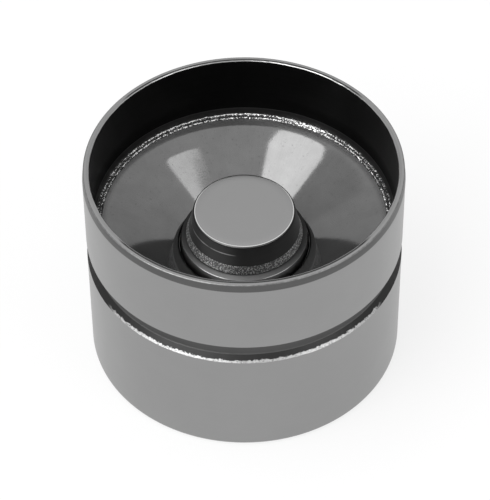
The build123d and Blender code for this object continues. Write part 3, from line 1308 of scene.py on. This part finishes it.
@dataclass
class Housing:
    """The housing of the hydraulic element: a cup, open end down, whose nose meets the valve stem."""

    nose_height: float = 19.204
    nose_radius: float = 5.6
    nose_edge: float = 0.22  # rounding
    highlight_from: float = 0.2  # where the nose edge's painted highlight begins, in from the nose's radius
    highlight_to: float = 0.125  # where it ends
    highlight_fall: float = 0.02  # how far it falls
    side_swell: float = 0.02
    side_fall: float = 0.05
    neck_radius: float = 6.15
    neck_height: float = 16.654
    shoulder_radius: float = 6.5
    shoulder_height: float = 15.704
    blend: float = 0.8  # rounding of the neck's corner, and twice that of the shoulder's
    outer_radius: float = 7.0
    outer_height: float = 15.304
    edge_width: float = 0.05  # the edge round the shoulder with its painted highlight, and its heights
    edge_low: float = 0.02
    edge_high: float = 0.035
    corner: float = 0.6  # rounding at the bore's end
    groove_low: float = 7.4  # height of the snap ring's groove
    groove_high: float = 8.25
    groove_depth: float = 0.8
    open_end: float = 6.4  # height
    chamfer: float = 0.2
    bore_radius: float = 5.0
    bore_end: float = 16.704  # height
    around: int = 512

    def section(self) -> Section:
        """Draw the housing from the middle of the nose round to the middle of its inside.

        Returns:
            The housing's section.
        """
        outer, nose_z, edge_z = self.outer_radius, self.nose_height, self.outer_height
        groove_r, bore = outer - self.groove_depth, self.bore_radius
        chamfer, end = self.chamfer, self.open_end
        corners = [
            Corner(0, nose_z, NOSE_FACE),
            Corner(self.nose_radius - self.highlight_from, nose_z, NOSE_EDGE),
            *plain(
                NOSE_SIDE,
                (self.nose_radius - self.highlight_to, nose_z - self.highlight_fall),
                (self.nose_radius + self.side_swell, nose_z - self.side_fall, self.nose_edge),
            ),
            Corner(self.neck_radius, self.neck_height, NOSE_NECK, self.blend),
            Corner(self.shoulder_radius, self.shoulder_height, NOSE_SHOULDER, self.blend / 2),
            Corner(outer - self.edge_width, edge_z + self.edge_high, SHOULDER_EDGE),
            *plain(
                HOUSING_SIDE,
                (outer, edge_z + self.edge_low),
                (outer, self.groove_high),
                (groove_r, self.groove_high),
                (groove_r, self.groove_low),
                (outer, self.groove_low),
                (outer, end + chamfer),
                (outer - chamfer, end),
                (bore + chamfer, end),
                (bore, end + chamfer),
                (bore, self.bore_end, self.corner),
                (0, self.bore_end),
            ),
        ]
        return flipped(trace(corners, closed=False))

    def build(self) -> None:
        """Make the housing."""
        cup = turn("element_cup", self.section(), self.around)
        settle(cup, "element", "hardened_steel", "element_housing")


def flipped(section: Section) -> Section:
    """The same section drawn the other way round, with the metal on the other side."""
    steps = np.roll(section.steps[::-1], -1)
    return Section(section.points[::-1], steps, section.finishes, section.closed)


@dataclass
class Plunger:
    """The plunger: open reservoir below, end wall with the check valve's seat above."""

    radius: float = 4.975
    foot: float = 3.21
    top: float = 10.0
    reservoir_radius: float = 3.475
    reservoir_top: float = 8.1
    corner: float = 0.5
    chamfer: float = 0.2
    recess_radius: float = 4.45
    recess_floor: float = 9.6
    seat_outer: float = 1.4007
    seat_hole: float = 0.9007
    seat_low: float = 9.1
    around: int = 256

    def build(self) -> None:
        """Make the plunger."""
        side, chamfer, reservoir = self.radius, self.chamfer, self.reservoir_radius
        corners = plain(
            PLUNGER_SIDE,
            (reservoir, self.foot),
            (side - chamfer, self.foot),
            (side, self.foot + chamfer),
            (side, self.top - chamfer),
            (side - chamfer, self.top),
            (self.recess_radius, self.top),
            (self.recess_radius, self.recess_floor),
            (self.seat_outer, self.recess_floor),
            (self.seat_hole, self.seat_low),
            (self.seat_hole, self.reservoir_top),
            (reservoir, self.reservoir_top, self.corner),
        )
        section = trace(corners, closed=True)
        settle(turn("check_plunger", section, self.around), "piston", "hardened_steel", "plunger")


@dataclass
class CheckValve:
    """The ball and its cage. Its spring is made on its own."""

    ball_radius: float = 1.5
    ball_height: float = 10.3307
    ball_steps: int = 64
    cage_seat: float = 9.6  # height of its flange's underside
    sheet: float = 0.4  # thickness
    flange_radius: float = 4.4
    cage_inner: float = 1.75
    shoulder: float = 11.6987  # height of its underside
    pocket_radius: float = 1.0
    pocket_top: float = 12.854  # height of its underside
    bend: float = 0.2  # rounding of the sheet
    vent_radius: float = 0.4
    windows: int = 3
    window_width: float = 1.2
    window_height: float = 1.3
    around: int = 192

    def ball(self) -> None:
        """Make the ball: its section is the half circle at (r cos t, z + r sin t)."""
        rise = np.linspace(-pi / 2, pi / 2, self.ball_steps + 1)
        points = np.stack([np.cos(rise), np.sin(rise)], -1) * self.ball_radius + (0, self.ball_height)
        points[[0, -1], 0] = 0
        section = Section(points, np.zeros(len(points), int), [BALL], False)
        settle(turn("valve_sphere", section, self.around), "valve_ball", "ball_steel", "check_ball")

    def cage(self) -> None:
        """Make the cage, and cut its windows."""
        inner, pocket, bend, seat = self.cage_inner, self.pocket_radius, self.bend, self.cage_seat
        outer, crown, top = inner + self.sheet, pocket + self.sheet, self.pocket_top + self.sheet
        flange_top, shoulder_top = seat + self.sheet, self.shoulder + self.sheet
        corners = plain(
            CAGE,
            (inner, seat),
            (self.flange_radius, seat),
            (self.flange_radius, flange_top),
            (outer, flange_top, bend),
            (outer, shoulder_top, bend),
            (crown, shoulder_top, bend),
            (crown, top, bend),
            (self.vent_radius, top),
            (self.vent_radius, self.pocket_top),
            (pocket, self.pocket_top),
            (pocket, self.shoulder),
            (inner, self.shoulder),
        )
        cap = turn("cage_cap", trace(corners, closed=True), self.around)
        start, stop = inner - self.sheet, outer + self.sheet
        half = self.window_width / 2
        for window in range(self.windows):
            angle = 2 * pi * window / self.windows
            outward, sideways = np.array([cos(angle), sin(angle), 0]), np.array([-sin(angle), cos(angle), 0])
            places = ((start, -half), (stop, -half), (stop, half), (start, half))
            outline = np.array([outward * along + sideways * aside for along, aside in places])
            bottom = outline + (0, 0, flange_top + bend)
            cut(cap, prism("window", bottom, bottom + (0, 0, self.window_height)))
        settle(cap, "piston", "pressed_steel", "ball_cage")

    def build(self) -> None:
        """Make the ball and its cage."""
        self.ball()
        self.cage()


@dataclass
class Spring:
    """A coil spring of round wire, its ends closed and ground flat.

    Attributes:
        name: Name of the piece.
        node: The node that it stands for.
        low: Height of its lower end, mm.
        high: Height of its upper end, mm.
        mean_radius: Radius of the wire's middle line, mm.
        wire: Diameter of the wire, mm.
        turns: Number of turns, the closed ones included.
        joint: Name of the joint meant to squeeze it, not used.
        fixed: Height of the end that stays, mm, not used.
        keep: Share of its length that is left at the joint's limit, not used.
        closed_turns: Turns at each end that lie one on the other.
        steps_per_turn: Points of the wire's middle line in a turn.
    """

    name: str
    node: str
    low: float
    high: float
    mean_radius: float
    wire: float
    turns: float
    joint: str
    fixed: float
    keep: float
    closed_turns: float = 0.75
    steps_per_turn: int = 48

    def path(self) -> np.ndarray:
        """Middle line of the wire.

        It goes round at the mean radius and climbs one wire per turn in the closed turns. The open
        turns share the rest of the rise by the share s of the way, eased as s - sin(2 pi s) / 2 pi.

        Returns:
            Its points in rows, mm.
        """
        turn_at = np.linspace(0, self.turns, ceil(self.turns * self.steps_per_turn) + 1)
        open_turns = self.turns - 2 * self.closed_turns
        rise = self.high - self.low - self.wire / 2 - 2 * self.closed_turns * self.wire
        share = np.clip((turn_at - self.closed_turns) / open_turns, 0, 1)
        eased = share - np.sin(2 * pi * share) / (2 * pi)
        end_turn = np.maximum(turn_at - self.turns + self.closed_turns, 0)
        closed = self.wire * (np.minimum(turn_at, self.closed_turns) + end_turn)
        angle = 2 * pi * turn_at
        height = self.low + self.wire / 4 + closed + rise * eased
        across = self.mean_radius * np.array([np.cos(angle), np.sin(angle)])
        return np.stack([*across, height], -1)

    def build(self) -> None:
        """Make the spring and grind its ends flat."""
        coil = sweep_wire(self.name, self.path(), self.wire / 2, WIRE)
        places = np.empty(len(coil.data.vertices) * 3, np.float32)
        coil.data.vertices.foreach_get("co", places)
        places = places.reshape(-1, 3)
        places[:, 2] = np.clip(places[:, 2], self.low * MM, self.high * MM)
        coil.data.vertices.foreach_set("co", places.ravel())
        coil.data.update()
        settle(coil, "piston", "spring_wire", self.node)
        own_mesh(coil)


@dataclass
class SnapRing:
    """The split wire ring that keeps the element in the guide tube."""

    mean_radius: float = 6.975
    height: float = 7.795
    wire: float = 0.75
    split: float = 3.0
    steps: int = 160

    def build(self) -> None:
        """Make the ring: its middle line is a circle that leaves out the split at +X."""
        gap = asin(self.split / 2 / self.mean_radius)
        angle = np.linspace(gap, 2 * pi - gap, self.steps)
        circle = np.stack([np.cos(angle), np.sin(angle), 0 * angle], -1) * self.mean_radius
        ring = sweep_wire("snap_ring", circle + (0, 0, self.height), self.wire / 2, WIRE)
        settle(ring, "element", "spring_wire", "retaining_ring")


@dataclass(frozen=True)
class SoftBox:
    """A rectangular studio lamp.

    Attributes:
        name: Name of the lamp.
        centre: Its middle, mm.
        facing: Direction in which it shines.
        across: Direction of its width.
        width: Its width, mm.
        height: Its height, mm.
        brightness: Its radiance, where the white surroundings have 1.
    """

    name: str
    centre: tuple[float, float, float]
    facing: tuple[float, float, float]
    across: tuple[float, float, float]
    width: float
    height: float
    brightness: float

    def build(self) -> None:
        """Make the lamp. Its power is radiance times pi times its area."""
        lamp = bpy.data.lights.new(self.name, "AREA")
        lamp.shape = "RECTANGLE"
        lamp.size, lamp.size_y = self.width * MM, self.height * MM
        lamp.energy = self.brightness * pi * lamp.size * lamp.size_y
        made = new_object(self.name, lamp)
        away = -Vector(self.facing).normalized()
        across = Vector(self.across)
        across = (across - away * across.dot(away)).normalized()
        axes = Matrix((across, away.cross(across), away)).transposed().to_4x4()
        made.matrix_world = Matrix.Translation(Vector(self.centre) * MM) @ axes
        made.visible_camera = False


Corners = tuple[tuple[float, float, float], ...]


def stage_sheet(name: str, corners: Corners, surface: Callable[[Tree], Signal]) -> bpy.types.Object:
    """Make a flat sheet of the studio.

    Args:
        name: Name of the sheet and of its material.
        corners: Its corners in order, mm, counterclockwise as seen from its front.
        surface: Makes its shader.

    Returns:
        The sheet.
    """
    mesh = bpy.data.meshes.new(name)
    mesh.from_pydata(np.array(corners) * MM, [], [tuple(range(len(corners)))])
    mesh.materials.append(new_material(name, surface))
    made = new_object(name, mesh)
    return made


@dataclass(frozen=True)
class GlowPanel:
    """A flat lit panel of any outline, which shows in polished metal.

    Attributes:
        name: Name of the panel.
        corners: Its corners in order, mm.
        brightness: Its radiance, where the white surroundings have 1.
    """

    name: str
    corners: Corners
    brightness: float

    def build(self) -> None:
        """Make the panel, which only mirrors and light see."""
        panel = stage_sheet(self.name, self.corners, lambda tree: tree.glow(self.brightness))
        panel.visible_camera = False


@dataclass
class Studio:
    """White surroundings, a pale floor, two soft boxes and a narrow lit panel."""

    fill: float = 0.75
    overhead: float = 0.7
    level_sine: float = 0.73
    dim: float = 0.25
    dim_towards: tuple[float, float, float] = (-0.54, 0.27, 0.80)
    dim_cosines: tuple[float, float] = (0.95, 0.985)
    floor_reach: float = 3000.0
    floor_depth: float = 0.02
    floor_grey: float = 0.8
    floor_glow: float = 0.75
    boxes: tuple[SoftBox, ...] = (
        SoftBox(
            "left_box", centre=(-448, 146, 1423), facing=(0.555, 0.764, -0.33),
            across=(0.095, -0.452, -0.887), width=2576, height=513, brightness=3.4
        ),
        SoftBox(
            "right_box", centre=(660, -520, 590), facing=(-0.64, 0.50, -0.58),
            across=(0.61, 0.79, 0.0), width=380, height=400, brightness=2.7
        ),
    )
    panel: GlowPanel = GlowPanel(
        "back_panel", ((334, -15, 1171), (503, 200, 1077), (689, 150, 997), (584, 127, 1046)), 3.2
    )

    def seen(self, tree: Tree) -> Signal:
        """1 for rays that show the surroundings: straight, mirrored or through glass."""
        shown = tree.ray("Is Camera Ray") + tree.ray("Is Glossy Ray") + tree.ray("Is Transmission Ray")
        return shown.above(0.0, 1.0)

    def surroundings(self) -> None:
        """White all round where it is seen, less as light, and uneven in the metal.

        A mirrored ray at a height of sine s over the horizon meets 1 + overhead * (s - level_sine),
        and less by dim round one direction, between the two cosines of the angle from it.
        """
        world = bpy.data.worlds.new("surroundings")
        world.use_nodes = True
        tree = Tree(world.node_tree)
        ray = tree.node("ShaderNodeTexCoord", None, None, "Generated")
        rise = tree.node("ShaderNodeSeparateXYZ", None, {0: ray}, 2)
        product, sockets = {"operation": "DOT_PRODUCT"}, {0: ray, 1: self.dim_towards}
        shade = tree.node("ShaderNodeVectorMath", product, sockets, "Value").above(*self.dim_cosines)
        sky = tree.ray("Is Glossy Ray") * ((rise - self.level_sine) * self.overhead - shade * self.dim)
        strength = self.seen(tree) * (1 - self.fill) + self.fill + sky
        light = tree.node("ShaderNodeBackground", None, {"Color": grey(1.0), "Strength": strength})
        tree.deliver("ShaderNodeOutputWorld", light)
        bpy.context.scene.world = world

    def paper(self, tree: Tree) -> Signal:
        """Pale matt paper that glows where it is seen, so that only a light shadow stays.

        From below it is clear, so that it doesn't hide the cam face.

        Args:
            tree: Tree of the material.

        Returns:
            The shader.
        """
        matt = tree.node("ShaderNodeBsdfDiffuse", None, {"Color": grey(self.floor_grey)})
        share = self.seen(tree) * self.floor_glow
        lit = tree.node("ShaderNodeMixShader", None, {0: share, 1: matt, 2: tree.glow(1.0)})
        below = tree.node("ShaderNodeNewGeometry", None, None, "Backfacing")
        clear = tree.node("ShaderNodeBsdfTransparent")
        return tree.node("ShaderNodeMixShader", None, {0: below, 1: lit, 2: clear})

    def floor(self) -> None:
        """Lay the floor just under the cam face."""
        reach, z = self.floor_reach, -self.floor_depth
        corners = ((-reach, -reach, z), (reach, -reach, z), (reach, reach, z), (-reach, reach, z))
        stage_sheet("floor", corners, self.paper)

    def build(self) -> None:
        """Make the surroundings, the floor and the lamps."""
        self.surroundings()
        self.floor()
        for box in self.boxes:
            box.build()
        self.panel.build()
        bpy.context.scene.view_settings.view_transform = "Standard"


@dataclass(frozen=True)
class Viewpoint:
    """The photograph's camera.

    Attributes:
        place: The lens, mm.
        down: Angle below the horizon, degrees.
        roll: Turn about the line of sight, degrees.
        lens: Focal length for a frame whose longer side is film, mm.
        film: Longer side of the frame, mm.
        reach: Nearest and farthest distance that the camera shows, metres.
    """

    place: tuple[float, float, float] = (0.053, -201.8, 228.76)
    down: float = 46.94
    roll: float = -0.509
    lens: float = 190.62
    film: float = 36.0
    reach: tuple[float, float] = (0.01, 20.0)

    def build(self) -> None:
        """Make the camera, which looks along +Y and down."""
        data = bpy.data.cameras.new("photograph")
        data.lens, data.sensor_width, data.sensor_fit = self.lens, self.film, "AUTO"
        data.clip_start, data.clip_end = self.reach
        camera = new_object("photograph", data)
        down, roll = radians(self.down), radians(self.roll)
        ahead = Vector((0, cos(down), -sin(down)))
        level = Vector((1, 0, 0))
        upright = level.cross(ahead)
        right = level * cos(roll) + upright * sin(roll)
        up = upright * cos(roll) - level * sin(roll)
        axes = Matrix((right, up, -ahead)).transposed().to_4x4()
        camera.matrix_world = Matrix.Translation(Vector(self.place) * MM) @ axes
        bpy.context.scene.camera = camera


def main() -> None:
    """Make the camera, the studio and every piece of the tappet."""
    logging.basicConfig(level=logging.INFO, format="%(name)s: %(message)s")
    Viewpoint().build()
    Studio().build()
    Bucket().build()
    Funnel().build()
    WeldBead().build()
    Housing().build()
    SnapRing().build()
    Plunger().build()
    CheckValve().build()
    Spring(
        "check_spring", "ball_spring", low=11.704, high=12.844, mean_radius=0.75, wire=0.2, turns=3.5,
        joint="ball_lift", fixed=12.844, keep=0.78,
    ).build()
    Spring(
        "lash_spring", "return_spring", low=10.01, high=16.694, mean_radius=4.1, wire=0.7, turns=4.5,
        joint="housing_slide", fixed=10.0, keep=0.58,
    ).build()


if __name__ == "__main__":
    main()
